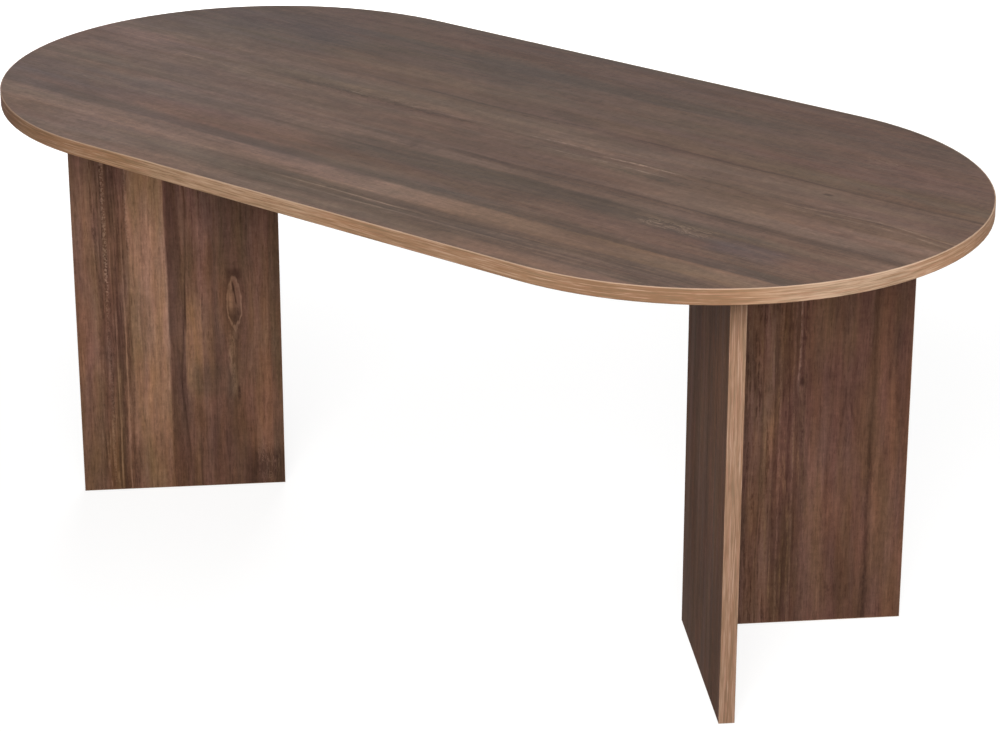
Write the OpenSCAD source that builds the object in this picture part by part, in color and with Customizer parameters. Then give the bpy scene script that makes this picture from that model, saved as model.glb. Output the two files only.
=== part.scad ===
// Oval dining table on two V-shaped panel legs, in millimetres.
// +X runs along the top towards the right leg, +Y to the rear and +Z up.
// The origin is on the floor, under the middle of the top.
// Each leg is two boards at a right angle. Its front board laps the end of its rear board.
// Cam fittings and dowels join the boards to each other and to the top.

/* [Top] */
// Length of the top, over its edge band
top_length = 1800; // [1500:10:2200]
// Width of the top, which is the diameter of its round ends
top_width = 900; // [800:10:1000]
// Thickness of the top
top_thickness = 25; // [20:1:36]
// Height of the top's upper face above the floor
table_height = 750; // [700:5:780]

/* [Legs] */
// Width of each leg board, from the corner of the V to its free end
leg_width = 354; // [300:2:400]
// Thickness of the leg boards
leg_thickness = 25; // [20:1:30]
// Distance of each V's corner from the end of the top
leg_setback = 465; // [420:5:520]

/* [Edge bands] */
// Thickness of the band round the top
top_band = 2; // [2:0.5:4]
// Radius along the two outer corners of the top's band
top_band_round = 1.5; // [0.5:0.25:1.75]
// Thickness of the bands on the leg boards
leg_band = 1; // [0.8:0.1:2]
// Radius along the outer corners of the leg bands
leg_band_round = 0.6; // [0.3:0.05:0.7]
// Glue line behind every band
glue_line = 0.1; // [0.05:0.05:0.2]

/* [Cam fittings] */
// Diameter of the cam
cam_d = 15; // [12:0.5:18]
// How far the cam reaches past the bolt's axis, into the board
cam_past_bolt = 5; // [4.5:0.1:6]
// Distance of the cam's axis from the joint
cam_setback = 34; // [24:1:40]
// Diameter of the bolt's screwed end
bolt_screw_d = 5; // [4:0.5:6]
// Length of the bolt's screwed end
bolt_screw_len = 11; // [9:0.5:13]
// Diameter of the bore for the bolt, in the end of the board that holds the cam
bolt_bore_d = 8; // [7.5:0.25:9]
// Diameter of the collar that stops the bolt at the joint
bolt_collar_d = 7.4; // [6.8:0.1:7.4]
// Length of that collar
bolt_collar_len = 1.5; // [1:0.25:3]
// Diameter of the bolt's shank
bolt_shank_d = 6; // [5.5:0.25:6.5]
// Diameter of the bolt's neck, which the cam's claws go round
bolt_neck_d = 4; // [3:0.25:4.5]
// Diameter of the bolt's head
bolt_head_d = 6.5; // [5.5:0.25:7]
// Length of the bolt's head
bolt_head_len = 2.6; // [2:0.2:3.2]
// How far each cam's cap laps the board round the cam
cap_lap = 1.5; // [1:0.25:3]
// Thickness of the caps
cap_thickness = 1.2; // [1:0.1:2]

/* [Places of the fittings] */
// Distance of a leg board's outer top fitting from the board's free end
free_end_inset = 60; // [50:5:80]
// Distance of its inner top fitting from the board's end at the corner
corner_end_inset = 75; // [65:5:90]
// Distance of the corner's lowest and highest fittings from the leg's foot and top
corner_fitting_inset = 90; // [70:5:120]

/* [Dowels] */
// Diameter of the fluted dowels
dowel_d = 8; // [6:1:10]
// Length of the dowels
dowel_len = 35; // [30:1:40]
// Depth of a dowel in the face of a board
dowel_in_face = 13; // [10:1:15]
// Distance of a top joint's dowel from the cam beside it
dowel_pitch = 32; // [25:1:40]

/* [Glides] */
// Diameter of the glides under the leg boards
glide_d = 16; // [12:1:18]
// Height of the glides, below the foot of the boards
glide_height = 2; // [1.5:0.25:4]
// Distance of the glides from the ends of a board
glide_inset = 40; // [30:5:60]
// Diameter of the bore that a glide's stem is pushed into
glide_bore_d = 8; // [6:0.5:10]
// Length of a glide's stem
glide_stem_len = 18; // [14:1:24]

/* [Hidden] */
$fn = 64;

LEFT = -1;
RIGHT = 1;
FRONT = 0;
REAR = 1;

// Colours
walnut_top = "#6b5b51";
walnut_leg = "#63493c";
band_oak = "#a6825f";
cap_brown = "#553c31";
zinc = "#b2b4b6";
steel = "#c6c7c9";
beech = "#d6b688";
nylon = "#3b302b";

// Clearances
cut = 1;            // how far a cutter runs past the face that it opens
running = 0.1;      // round a cam, and round the bolt's head in it
sliding = 0.05;     // round bolts, dowels and stems in their bores
end_room = 0.5;     // past the end of a bolt, dowel, stem or cam

// Heights
leg_foot = glide_height;
leg_top = table_height - top_thickness;
board_foot = leg_foot + leg_band + glue_line;

// The V
corner_x = top_length / 2 - leg_setback;
v_angle = 45;       // of each board to the length of the table
middle = leg_thickness / 2;

// Cams and caps
cam_height = middle + cam_past_bolt;
cam_wall = 2.1;
chamber_r = cam_d / 2 - cam_wall;
chamber_height = bolt_head_d + 0.8;
neck_slot = bolt_neck_d + 0.6;
head_gap_r = bolt_head_d / 2 + running;
chamber_offset = sqrt(pow(chamber_r, 2) - pow(head_gap_r, 2)) - running;
drive_d = 6.4;      // round part of the driver's recess
drive_depth = 4;
cross_span = 10;    // cross in the recess
cross_width = 1.4;
cross_depth = 1.5;
cap_d = cam_d + 2 * cap_lap;
cap_edge = 0.4;     // chamfer round the cap
cap_plug_d = drive_d - 2 * running;
cap_plug_len = 3;

// Bolts
neck_start = cam_setback - cam_d / 2 - 1;

// Dowels and glides
dowel_chamfer = 1;
flutes = 10;
flute_d = 0.9;
glide_chamfer = 0.5;
barbs = 3;
barb_height = 1;
barb_first = 5;     // distance of the first barb from the foot of the board
barb_pitch = 4;

// Positions across a board's width, measured from the corner of the V
function board_start(board) = board == FRONT ? 0 : leg_thickness;
function top_cams(board) =
    [board_start(board) + corner_end_inset, leg_width - free_end_inset];
function top_dowels(board) = top_cams(board) + [dowel_pitch, -dowel_pitch];
function glides(board) = [board_start(board) + glide_inset, leg_width - glide_inset];

// Heights of the fittings down a corner
corner_low = leg_foot + corner_fitting_inset;
corner_high = leg_top - corner_fitting_inset;
corner_cams = [corner_low, (corner_low + corner_high) / 2, corner_high];
corner_dowels = [for (i = [0, 1]) (corner_cams[i] + corner_cams[i + 1]) / 2];

// A leg's own frame: the corner of the V on the Z axis, the front board along X, the rear along Y
module in_leg(side) {
    mirror([side == LEFT ? 1 : 0, 0, 0]) translate([corner_x, 0, 0]) rotate([0, 0, -v_angle])
        children();
}

// A board's own frame, in its leg's: width along X, outer face at y = 0, inner face at y = thickness
module in_board(board) {
    mirror([board == REAR ? 1 : 0, board == REAR ? -1 : 0, 0]) children();
}

// A fitting's own frame, in the board that holds the cam: the joint at z = 0, the cam above it,
// and the board's inner face towards +Y
module at_top_joint(board, places) {
    in_board(board) for (x = places)
        translate([x, middle, leg_top]) rotate([0, 180, 0]) children();
}

module at_corner_joint(places) {
    in_board(REAR) for (z = places)
        translate([leg_thickness, middle, z]) rotate([0, 90, 0]) children();
}

module at_glides(board) {
    in_board(board) for (x = glides(board)) translate([x, middle, 0]) children();
}

// All cams are of one hand, so this turns round what a mirrored frame has turned round
module one_hand(side, board) {
    mirrored = (side == LEFT) != (board == REAR);
    mirror([mirrored ? 1 : 0, 0, 0]) children();
}

// The top
module stadium(inset) {
    straight = top_length - top_width;
    r = top_width / 2 - inset;
    square([straight, 2 * r], center = true);
    for (x = [-straight / 2, straight / 2]) translate([x, 0]) circle(r = r, $fn = 180);
}

module table_top() {
    color(walnut_top) difference() {
        translate([0, 0, leg_top]) linear_extrude(top_thickness) stadium(top_band + glue_line);
        for (side = [LEFT, RIGHT], board = [FRONT, REAR]) in_leg(side) {
            at_top_joint(board, top_cams(board)) bolt_screw_bore();
            at_top_joint(board, top_dowels(board)) dowel_face_bore();
        }
    }
}

// Section of a band: its back at x = 0, and its two outer corners rounded
module band_section(thickness, width, round) {
    square([thickness - round, width]);
    translate([0, round]) square([thickness, width - 2 * round]);
    for (y = [round, width - round]) intersection() {
        square([thickness, width]);
        translate([thickness - round, y]) circle(r = round, $fn = 32);
    }
}

module top_edge_band() {
    straight = top_length - top_width;
    back = top_width / 2 - top_band;
    color(band_oak) translate([0, 0, leg_top]) for (side = [0, 180]) rotate([0, 0, side]) {
        translate([straight / 2, 0, 0]) rotate([0, 0, -90]) rotate_extrude(angle = 180, $fn = 180)
            translate([back, 0]) band_section(top_band, top_thickness, top_band_round);
        translate([-straight / 2, back, 0]) rotate([90, 0, 90]) linear_extrude(straight)
            band_section(top_band, top_thickness, top_band_round);
    }
}

// The leg boards
module leg_board(side, board) {
    start = board == FRONT ? leg_band + glue_line : leg_thickness;
    width = leg_width - leg_band - glue_line - start;
    color(walnut_leg) in_leg(side) difference() {
        in_board(board) translate([start, 0, board_foot])
            cube([width, leg_thickness, leg_top - board_foot]);
        at_top_joint(board, top_cams(board)) cam_and_bolt_bores();
        at_top_joint(board, top_dowels(board)) dowel_end_bore();
        at_glides(board) glide_bore();
        if (board == FRONT) {
            at_corner_joint(corner_cams) bolt_screw_bore();
            at_corner_joint(corner_dowels) dowel_face_bore();
        } else {
            at_corner_joint(corner_cams) cam_and_bolt_bores();
            at_corner_joint(corner_dowels) dowel_end_bore();
        }
    }
}

// Upright band on a board's free end
module free_edge_band(side, board) {
    color(band_oak) in_leg(side) in_board(board) translate([leg_width - leg_band, 0, leg_foot])
        linear_extrude(leg_top - leg_foot) band_section(leg_band, leg_thickness, leg_band_round);
}

// Upright band on the front board's end, at the corner of the V
module corner_edge_band(side) {
    color(band_oak) in_leg(side) translate([leg_band, 0, leg_foot]) mirror([1, 0, 0])
        linear_extrude(leg_top - leg_foot) band_section(leg_band, leg_thickness, leg_band_round);
}

// Band under a board, between its upright bands
module foot_edge_band(side, board) {
    start = board == FRONT ? leg_band : leg_thickness;
    width = leg_width - leg_band - start;
    color(band_oak) in_leg(side) difference() {
        in_board(board) translate([start, 0, leg_foot + leg_band]) rotate([0, 90, 0])
            linear_extrude(width) band_section(leg_band, leg_thickness, leg_band_round);
        at_glides(board) glide_bore();
    }
}

// Bores, each in a fitting's own frame
module bolt_screw_bore() {
    depth = bolt_screw_len + end_room;
    translate([0, 0, -depth]) cylinder(d = bolt_screw_d + 2 * sliding, h = depth + cut);
}

module cam_and_bolt_bores() {
    depth = cam_height + end_room;
    translate([0, 0, -cut]) cylinder(d = bolt_bore_d, h = cam_setback + cut);
    translate([0, middle + cut, cam_setback]) rotate([90, 0, 0])
        cylinder(d = cam_d + 2 * running, h = depth + cut);
}

module dowel_face_bore() {
    depth = dowel_in_face + end_room;
    translate([0, 0, -depth]) cylinder(d = dowel_d + 2 * sliding, h = depth + cut);
}

module dowel_end_bore() {
    depth = dowel_len - dowel_in_face + end_room;
    translate([0, 0, -cut]) cylinder(d = dowel_d + 2 * sliding, h = depth + cut);
}

module glide_bore() {
    depth = glide_stem_len + end_room;
    translate([0, 0, leg_foot - cut]) cylinder(d = glide_bore_d, h = depth + cut);
}

// Fittings, each in its own frame
module bolt() {
    translate([0, 0, -bolt_screw_len]) cylinder(d = bolt_screw_d, h = bolt_screw_len);
    cylinder(d = bolt_collar_d, h = bolt_collar_len);
    cylinder(d = bolt_shank_d, h = neck_start);
    cylinder(d = bolt_neck_d, h = cam_setback);
    translate([0, 0, cam_setback]) cylinder(d = bolt_head_d, h = bolt_head_len);
}

// Cam on its own axis, locked: the bolt comes along X from the left, with its head behind the claws
module cam() {
    difference() {
        translate([0, 0, -cam_past_bolt]) cylinder(d = cam_d, h = cam_height);
        // Eccentric chamber: it pulls the head in as the cam turns, and is open on the far side
        translate([chamber_offset, 0, -chamber_height / 2])
            cylinder(r = chamber_r, h = chamber_height);
        // Slot between the claws, from the chamber's open side round to the neck
        translate([-cam_d, -cam_d, -neck_slot / 2]) cube([2 * cam_d, cam_d, neck_slot]);
        translate([-cam_d, -neck_slot / 2, -neck_slot / 2]) cube([cam_d, neck_slot, neck_slot]);
        translate([0, 0, cam_height - cam_past_bolt]) driver_recess();
    }
}

module driver_recess() {
    translate([0, 0, -drive_depth]) cylinder(d = drive_d, h = drive_depth + cut);
    for (turn = [0, 90]) rotate([0, 0, turn])
        translate([-cross_span / 2, -cross_width / 2, -cross_depth])
            cube([cross_span, cross_width, cross_depth + cut]);
}

module cam_in_joint() {
    translate([0, 0, cam_setback]) rotate([-90, 0, 0]) rotate([0, 0, -90]) cam();
}

module cam_cap() {
    translate([0, middle, cam_setback]) rotate([-90, 0, 0]) {
        cylinder(d = cap_d, h = cap_thickness - cap_edge);
        translate([0, 0, cap_thickness - cap_edge])
            cylinder(d1 = cap_d, d2 = cap_d - 2 * cap_edge, h = cap_edge);
        translate([0, 0, -cap_plug_len]) cylinder(d = cap_plug_d, h = cap_plug_len);
    }
}

module dowel() {
    narrow = dowel_d - 2 * dowel_chamfer;
    translate([0, 0, -dowel_in_face]) difference() {
        union() {
            cylinder(d1 = narrow, d2 = dowel_d, h = dowel_chamfer);
            translate([0, 0, dowel_chamfer]) cylinder(d = dowel_d, h = dowel_len - 2 * dowel_chamfer);
            translate([0, 0, dowel_len - dowel_chamfer])
                cylinder(d1 = dowel_d, d2 = narrow, h = dowel_chamfer);
        }
        for (i = [1:flutes]) rotate([0, 0, i * 360 / flutes]) translate([dowel_d / 2, 0, -cut])
            cylinder(d = flute_d, h = dowel_len + 2 * cut, $fn = 16);
    }
}

// Glide on the floor, with its barbed stem up in the board
module glide() {
    barb_d = glide_bore_d - 2 * sliding;
    stem_d = barb_d - 2 * barb_height;
    cylinder(d1 = glide_d - 2 * glide_chamfer, d2 = glide_d, h = glide_chamfer);
    translate([0, 0, glide_chamfer]) cylinder(d = glide_d, h = glide_height - glide_chamfer);
    translate([0, 0, glide_height]) {
        cylinder(d = stem_d, h = glide_stem_len);
        for (i = [0:barbs - 1]) translate([0, 0, barb_first + i * barb_pitch])
            cylinder(d1 = barb_d, d2 = stem_d, h = barb_height);
    }
}

// Sets of fittings for one leg
module top_joint_bolts(side) {
    color(steel) in_leg(side) for (board = [FRONT, REAR]) at_top_joint(board, top_cams(board)) bolt();
}

module top_joint_cams(side) {
    color(zinc) in_leg(side) for (board = [FRONT, REAR]) at_top_joint(board, top_cams(board))
        one_hand(side, board) cam_in_joint();
}

module top_joint_cam_caps(side) {
    color(cap_brown) in_leg(side) for (board = [FRONT, REAR])
        at_top_joint(board, top_cams(board)) cam_cap();
}

module top_joint_dowels(side) {
    color(beech) in_leg(side) for (board = [FRONT, REAR])
        at_top_joint(board, top_dowels(board)) dowel();
}

module corner_joint_bolts(side) {
    color(steel) in_leg(side) at_corner_joint(corner_cams) bolt();
}

module corner_joint_cams(side) {
    color(zinc) in_leg(side) at_corner_joint(corner_cams) one_hand(side, REAR) cam_in_joint();
}

module corner_joint_cam_caps(side) {
    color(cap_brown) in_leg(side) at_corner_joint(corner_cams) cam_cap();
}

module corner_joint_dowels(side) {
    color(beech) in_leg(side) at_corner_joint(corner_dowels) dowel();
}

module leg_glides(side) {
    color(nylon) in_leg(side) for (board = [FRONT, REAR]) at_glides(board) glide();
}

table_top();
top_edge_band();
leg_board(LEFT, FRONT);  // front_left_leg_board
leg_board(LEFT, REAR);  // rear_left_leg_board
leg_board(RIGHT, FRONT);  // front_right_leg_board
leg_board(RIGHT, REAR);  // rear_right_leg_board
free_edge_band(LEFT, FRONT);  // front_left_free_edge_band
free_edge_band(LEFT, REAR);  // rear_left_free_edge_band
free_edge_band(RIGHT, FRONT);  // front_right_free_edge_band
free_edge_band(RIGHT, REAR);  // rear_right_free_edge_band
corner_edge_band(LEFT);  // front_left_corner_edge_band
corner_edge_band(RIGHT);  // front_right_corner_edge_band
foot_edge_band(LEFT, FRONT);  // front_left_foot_edge_band
foot_edge_band(LEFT, REAR);  // rear_left_foot_edge_band
foot_edge_band(RIGHT, FRONT);  // front_right_foot_edge_band
foot_edge_band(RIGHT, REAR);  // rear_right_foot_edge_band
top_joint_bolts(LEFT);  // left_top_joint_bolts
top_joint_bolts(RIGHT);  // right_top_joint_bolts
top_joint_cams(LEFT);  // left_top_joint_cams
top_joint_cams(RIGHT);  // right_top_joint_cams
top_joint_cam_caps(LEFT);  // left_top_joint_cam_caps
top_joint_cam_caps(RIGHT);  // right_top_joint_cam_caps
top_joint_dowels(LEFT);  // left_top_joint_dowels
top_joint_dowels(RIGHT);  // right_top_joint_dowels
corner_joint_bolts(LEFT);  // left_corner_joint_bolts
corner_joint_bolts(RIGHT);  // right_corner_joint_bolts
corner_joint_cams(LEFT);  // left_corner_joint_cams
corner_joint_cams(RIGHT);  // right_corner_joint_cams
corner_joint_cam_caps(LEFT);  // left_corner_joint_cam_caps
corner_joint_cam_caps(RIGHT);  // right_corner_joint_cam_caps
corner_joint_dowels(LEFT);  // left_corner_joint_dowels
corner_joint_dowels(RIGHT);  // right_corner_joint_dowels
leg_glides(LEFT);  // left_glides
leg_glides(RIGHT);  // right_glides
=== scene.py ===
"""Looks of the oval dining table: its walnut and oak prints, its fittings, a pale studio and the camera.

Lengths are metres, in the table's own frame: +X along the top to the right leg, +Y to the rear, +Z up.
Colours are written as screen values from 0 to 255.
"""
import math

import bpy
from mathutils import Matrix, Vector


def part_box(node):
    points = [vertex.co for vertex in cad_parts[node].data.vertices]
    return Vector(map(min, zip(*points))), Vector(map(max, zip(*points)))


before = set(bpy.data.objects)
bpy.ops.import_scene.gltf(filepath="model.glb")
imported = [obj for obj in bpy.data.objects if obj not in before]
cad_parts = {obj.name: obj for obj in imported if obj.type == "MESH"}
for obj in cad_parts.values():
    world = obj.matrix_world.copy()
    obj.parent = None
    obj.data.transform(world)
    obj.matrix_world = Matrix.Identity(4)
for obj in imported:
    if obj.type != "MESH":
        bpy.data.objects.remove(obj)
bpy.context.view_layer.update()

# The table, as the frame has it
TOP_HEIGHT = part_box("table_top")[1].z
BOARD_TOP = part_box("table_top")[0].z
CORNER_X = 0.435
LEG_WIDTH = 0.354
LEG_THICKNESS = 0.025
LAMINATE = 0.0004
LEFT, RIGHT = -1, 1
FRONT, REAR = -1, 1

# Where nearly all of a noise lies, for the colours of the prints and for all else
NOISE_LOW, NOISE_HIGH = 0.28, 0.72
MOST_LOW, MOST_HIGH = 0.3, 0.7

# How far the edge of a printed band frays, and how deep the finest forms are
RAGGED = 0.0022
PORE_RELIEF = 0.00006
OAK_RELIEF = 0.00005
METAL_RELIEF = 0.00002
PLASTIC_RELIEF = 0.00004
BEECH_RELIEF = -0.00003


def screen(red, green, blue):
    """A colour written as screen values, as the linear colour that a node takes"""
    def linear(value):
        value /= 255
        return value / 12.92 if value <= 0.04045 else ((value + 0.055) / 1.055) ** 2.4
    return (linear(red), linear(green), linear(blue), 1.0)


class Shader:
    """One node material. A value is a number, a tuple or the socket that another call gave back."""

    def __init__(self, name):
        self.material = bpy.data.materials.new(name)
        self.material.use_nodes = True
        self.tree = self.material.node_tree
        self.tree.nodes.clear()
        self.place = self.add("TexCoord").outputs["Object"]

    def add(self, kind, **settings):
        node = self.tree.nodes.new("ShaderNode" + kind)
        for name, value in settings.items():
            setattr(node, name, value)
        return node

    def feed(self, socket, value):
        if isinstance(value, bpy.types.NodeSocket):
            self.tree.links.new(value, socket)
        elif socket.type == "VECTOR":
            socket.default_value = value[:3]
        else:
            socket.default_value = value

    def math(self, operation, first, second=0.0):
        node = self.add("Math", operation=operation)
        self.feed(node.inputs[0], first)
        self.feed(node.inputs[1], second)
        return node.outputs[0]

    def plus(self, first, second):
        return self.math("ADD", first, second)

    def minus(self, first, second):
        return self.math("SUBTRACT", first, second)

    def times(self, first, second):
        return self.math("MULTIPLY", first, second)

    def dot(self, vector, axis):
        node = self.add("VectorMath", operation="DOT_PRODUCT")
        self.feed(node.inputs[0], vector)
        self.feed(node.inputs[1], axis)
        return node.outputs["Value"]

    def split(self, vector):
        node = self.add("SeparateXYZ")
        self.feed(node.inputs[0], vector)
        return node.outputs

    def join(self, x, y, z):
        node = self.add("CombineXYZ")
        for socket, value in zip(node.inputs, (x, y, z)):
            self.feed(socket, value)
        return node.outputs[0]

    def noise(self, vector, detail=2.0, roughness=0.5, distortion=0.0):
        node = self.add("TexNoise")
        self.feed(node.inputs["Vector"], vector)
        node.inputs["Scale"].default_value = 1.0
        node.inputs["Detail"].default_value = detail
        node.inputs["Roughness"].default_value = roughness
        node.inputs["Distortion"].default_value = distortion
        return node.outputs[0]

    def step(self, value, start, end, low=0.0, high=1.0):
        """Goes smoothly from low to high while value goes from start to end"""
        node = self.add("MapRange", interpolation_type="SMOOTHSTEP")
        for name, number in (("Value", value), ("From Min", start), ("From Max", end),
                             ("To Min", low), ("To Max", high)):
            self.feed(node.inputs[name], number)
        return node.outputs[0]

    def window(self, value, low, high, soft):
        """1 from low to high, and down to 0 over the distance soft on either side"""
        below, above = soft if isinstance(soft, tuple) else (soft, soft)
        return self.times(self.step(value, low - below, low), self.step(value, high + above, high))

    def mix(self, amount, first, second, blend="MIX"):
        node = self.add("Mix", data_type="RGBA", blend_type=blend)
        self.feed(node.inputs[0], amount)
        self.feed(node.inputs[6], first)
        self.feed(node.inputs[7], second)
        return node.outputs[2]

    def shade(self, colour, amount):
        """The colour made darker or lighter by a factor"""
        node = self.add("VectorMath", operation="SCALE")
        self.feed(node.inputs[0], colour)
        self.feed(node.inputs["Scale"], amount)
        return node.outputs[0]

    def ramp(self, value, stops):
        node = self.add("ValToRGB")
        self.feed(node.inputs[0], value)
        points = node.color_ramp.elements
        points[0].position, points[0].color = stops[0]
        points[1].position, points[1].color = stops[-1]
        for position, colour in stops[1:-1]:
            points.new(position).color = colour
        return node.outputs[0]

    def bump(self, height, distance):
        node = self.add("Bump")
        self.feed(node.inputs["Height"], height)
        node.inputs["Distance"].default_value = distance
        return node.outputs[0]

    def surface(self, colour, roughness, normal, **settings):
        node = self.add("BsdfPrincipled")
        self.feed(node.inputs["Base Color"], colour)
        self.feed(node.inputs["Roughness"], roughness)
        self.feed(node.inputs["Normal"], normal)
        for name, value in settings.items():
            node.inputs[name.replace("_", " ")].default_value = value
        self.tree.links.new(node.outputs[0], self.add("OutputMaterial").inputs[0])
        return self.material


class Print:
    """A wood print on one board, painted layer over layer. along runs with the grain, across square to it."""

    def __init__(self, shader, along, across, seed, base, wander, wave):
        s = self.s = shader
        self.along = along
        self.across = across
        self.seed = seed
        slow = self.sway(1.1, 6, offset=0, reach=wander, detail=1)
        quick = self.sway(5.5, 38, offset=1, reach=wave)
        ragged = self.sway(32, 260, offset=2, reach=RAGGED, detail=1)
        self.across = s.plus(across, s.plus(s.plus(slow, quick), ragged))
        self.broken = s.step(self.texture(7, 46, offset=3), 0.3, 0.68, 0.45, 1.0)
        self.dashes = s.step(self.texture(75, 200, offset=4, detail=3, roughness=0.7), 0.36, 0.60, 0.15, 1.0)
        self.field = self.texture(13, 230, offset=7)
        self.colour = base

    def texture(self, along_scale, across_scale, offset, detail=2.0, roughness=0.5, distortion=0.0):
        """Noise stretched along the grain: its scales are in features to a metre. offset keeps two of them
        apart."""
        s = self.s
        along = s.times(self.along, along_scale)
        across = s.times(self.across, across_scale)
        vector = s.join(along, across, self.seed + offset)
        return s.noise(vector, detail=detail, roughness=roughness, distortion=distortion)

    def sway(self, along_scale, across_scale, offset, reach, detail=2.0):
        """Noise that swings to either side of nought"""
        value = self.texture(along_scale, across_scale, offset, detail=detail)
        return self.s.times(self.s.minus(value, 0.5), reach)

    def zone(self, low, high, soft, start=None, end=None, fade=0.1):
        """1 between low and high across the grain, and from start to end along it if they are given"""
        mask = self.s.window(self.across, low, high, soft)
        if start is None:
            return mask
        return self.s.times(mask, self.s.window(self.along, start, end, fade))

    def round_knot(self, at, place, width, length, push=0.5):
        """Makes the grain flow round a knot. Gives back the ragged distance from its middle, and the places
        across and along it, all in knot radii."""
        s = self.s
        offset = s.minus(self.across, at)
        side = s.times(offset, 2 / width)
        ahead = s.times(s.minus(self.along, place), 2 / length)
        near = s.math("SQRT", s.plus(s.times(side, side), s.times(ahead, ahead)))
        near = s.plus(near, self.sway(45, 160, offset=5, reach=0.5))
        self.across = s.minus(self.across, s.times(offset, s.step(near, 3.6, 0.6, 0.0, push)))
        return near, side, ahead

    def patch(self, tint, amount, low, high, soft, start=None, end=None, fade=0.1):
        """Paints tint in a zone, a little unevenly"""
        mask = self.zone(low, high, soft, start, end, fade)
        self.paint(tint, self.s.times(mask, self.broken), amount)

    def line(self, tint, amount, at, width, start, end, fade=0.06, bow=0.0, whole=False):
        """Paints a thin line of tint, in dashes or nearly whole. bow is how far its middle lies across the
        grain from its ends."""
        s = self.s
        place = s.minus(self.across, at)
        if bow:
            middle, reach = (start + end) / 2, (end - start) / 2
            bent = s.step(s.math("ABSOLUTE", s.minus(self.along, middle)), reach, 0.0, 0.0, bow)
            place = s.minus(place, bent)
        mask = s.step(s.math("ABSOLUTE", place), width, 0.0)
        mask = s.times(mask, s.window(self.along, start, end, fade))
        self.paint(tint, s.times(mask, self.broken if whole else self.dashes), amount)

    def beads(self, tint, amount, at, width, start, end, fade=0.06):
        """Paints a row of small spots along the grain"""
        s = self.s
        spots = s.step(self.texture(330, 300, offset=8, detail=1), 0.44, 0.60)
        mask = s.times(s.step(s.math("ABSOLUTE", s.minus(self.across, at)), width, 0.0),
                       s.window(self.along, start, end, fade))
        self.paint(tint, s.times(mask, spots), amount)

    def threads(self, dark, light, amount, low, high, soft, start=None, end=None, fade=0.1):
        """Paints fine broken lines in a zone, dark and light in turn"""
        s = self.s
        mask = s.times(self.zone(low, high, soft, start, end, fade), self.dashes)
        self.paint(dark, s.times(mask, s.step(self.field, 0.47, 0.36)), amount)
        self.paint(light, s.times(mask, s.step(self.field, 0.55, 0.66)), amount * 0.6)

    def curls(self, tint, amount, low, high, start, end, soft=0.012):
        """Paints the short curly lines of a figured spot"""
        s = self.s
        curl = self.texture(34, 130, offset=6, detail=1, distortion=1.6)
        thread = s.step(s.math("ABSOLUTE", s.minus(curl, 0.5)), 0.07, 0.0)
        spot = self.zone(low, high, soft, start, end, soft * 3)
        self.paint(tint, s.times(spot, thread), amount)

    def paint(self, tint, mask, amount):
        """Lays tint over the print where mask is 1, amount strong"""
        s = self.s
        self.colour = s.mix(s.times(mask, amount), self.colour, tint)

    def tone(self, darker, lighter, amount, along_scale, across_scale, offset):
        """Lets the colour drift to two tints in turn"""
        value = self.texture(along_scale, across_scale, offset)
        self.paint(darker, self.s.step(value, 0.48, NOISE_LOW), amount)
        self.paint(lighter, self.s.step(value, 0.52, NOISE_HIGH), amount)

    def drift(self, red, blue, along_scale, across_scale, offset):
        """Lets the hue wander: the red and blue parts each grow and shrink by that share"""
        s = self.s
        parts = []
        for share, shift in ((red, 0), (blue, 1)):
            value = self.texture(along_scale, across_scale, offset + shift)
            parts.append(s.step(value, NOISE_LOW, NOISE_HIGH, 1 - share, 1 + share))
        self.colour = s.mix(1.0, self.colour, s.join(parts[0], 1.0, parts[1]), blend="MULTIPLY")

    def grain(self, smoke, cloud, streaks, fibre, speckle, ripple, pores):
        """Clouds, streaks, fibre, speckle, ripples across the grain and pores, each with its strength"""
        s = self.s
        self.vary(self.texture(5, 13, offset=10), smoke)
        self.vary(self.texture(11, 30, offset=14, detail=4, roughness=0.75), cloud)
        self.vary(self.texture(2.4, 95, offset=11, detail=3, roughness=0.6), streaks)
        self.vary(self.texture(16, 300, offset=12, roughness=0.7), fibre)
        self.vary(self.texture(90, 150, offset=17, detail=3, roughness=0.8), speckle)
        self.vary(self.texture(120, 32, offset=15, detail=3, roughness=0.75), ripple)
        pore = s.step(self.texture(60, 330, offset=13, roughness=0.6), 0.54, 0.66)
        self.colour = s.shade(self.colour, s.step(pore, 0.0, 1.0, 1.0, 1 - pores))
        fine = self.texture(70, 1300, offset=16)
        self.height = s.minus(s.times(fine, 0.6), pore)

    def vary(self, value, amount):
        """Makes the colour darker and lighter by that share"""
        level = self.s.step(value, NOISE_LOW, NOISE_HIGH, 1 - amount, 1 + amount)
        self.colour = self.s.shade(self.colour, level)

    def laminate(self, colour, smooth, rough, shine):
        """The material of a board in that colour: satin, with a faint relief of the pores"""
        s = self.s
        gloss = s.step(self.texture(3, 60, offset=31), MOST_LOW, MOST_HIGH, smooth, rough)
        return s.surface(colour, gloss, s.bump(self.height, PORE_RELIEF), Specular_IOR_Level=shine)


# Particleboard: its tints, and its chips to a metre
CHIP_DARK = screen(150, 118, 80)
CHIP_MIDDLE = screen(196, 163, 118)
CHIP_LIGHT = screen(222, 196, 152)
CHIPS = 700


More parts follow.
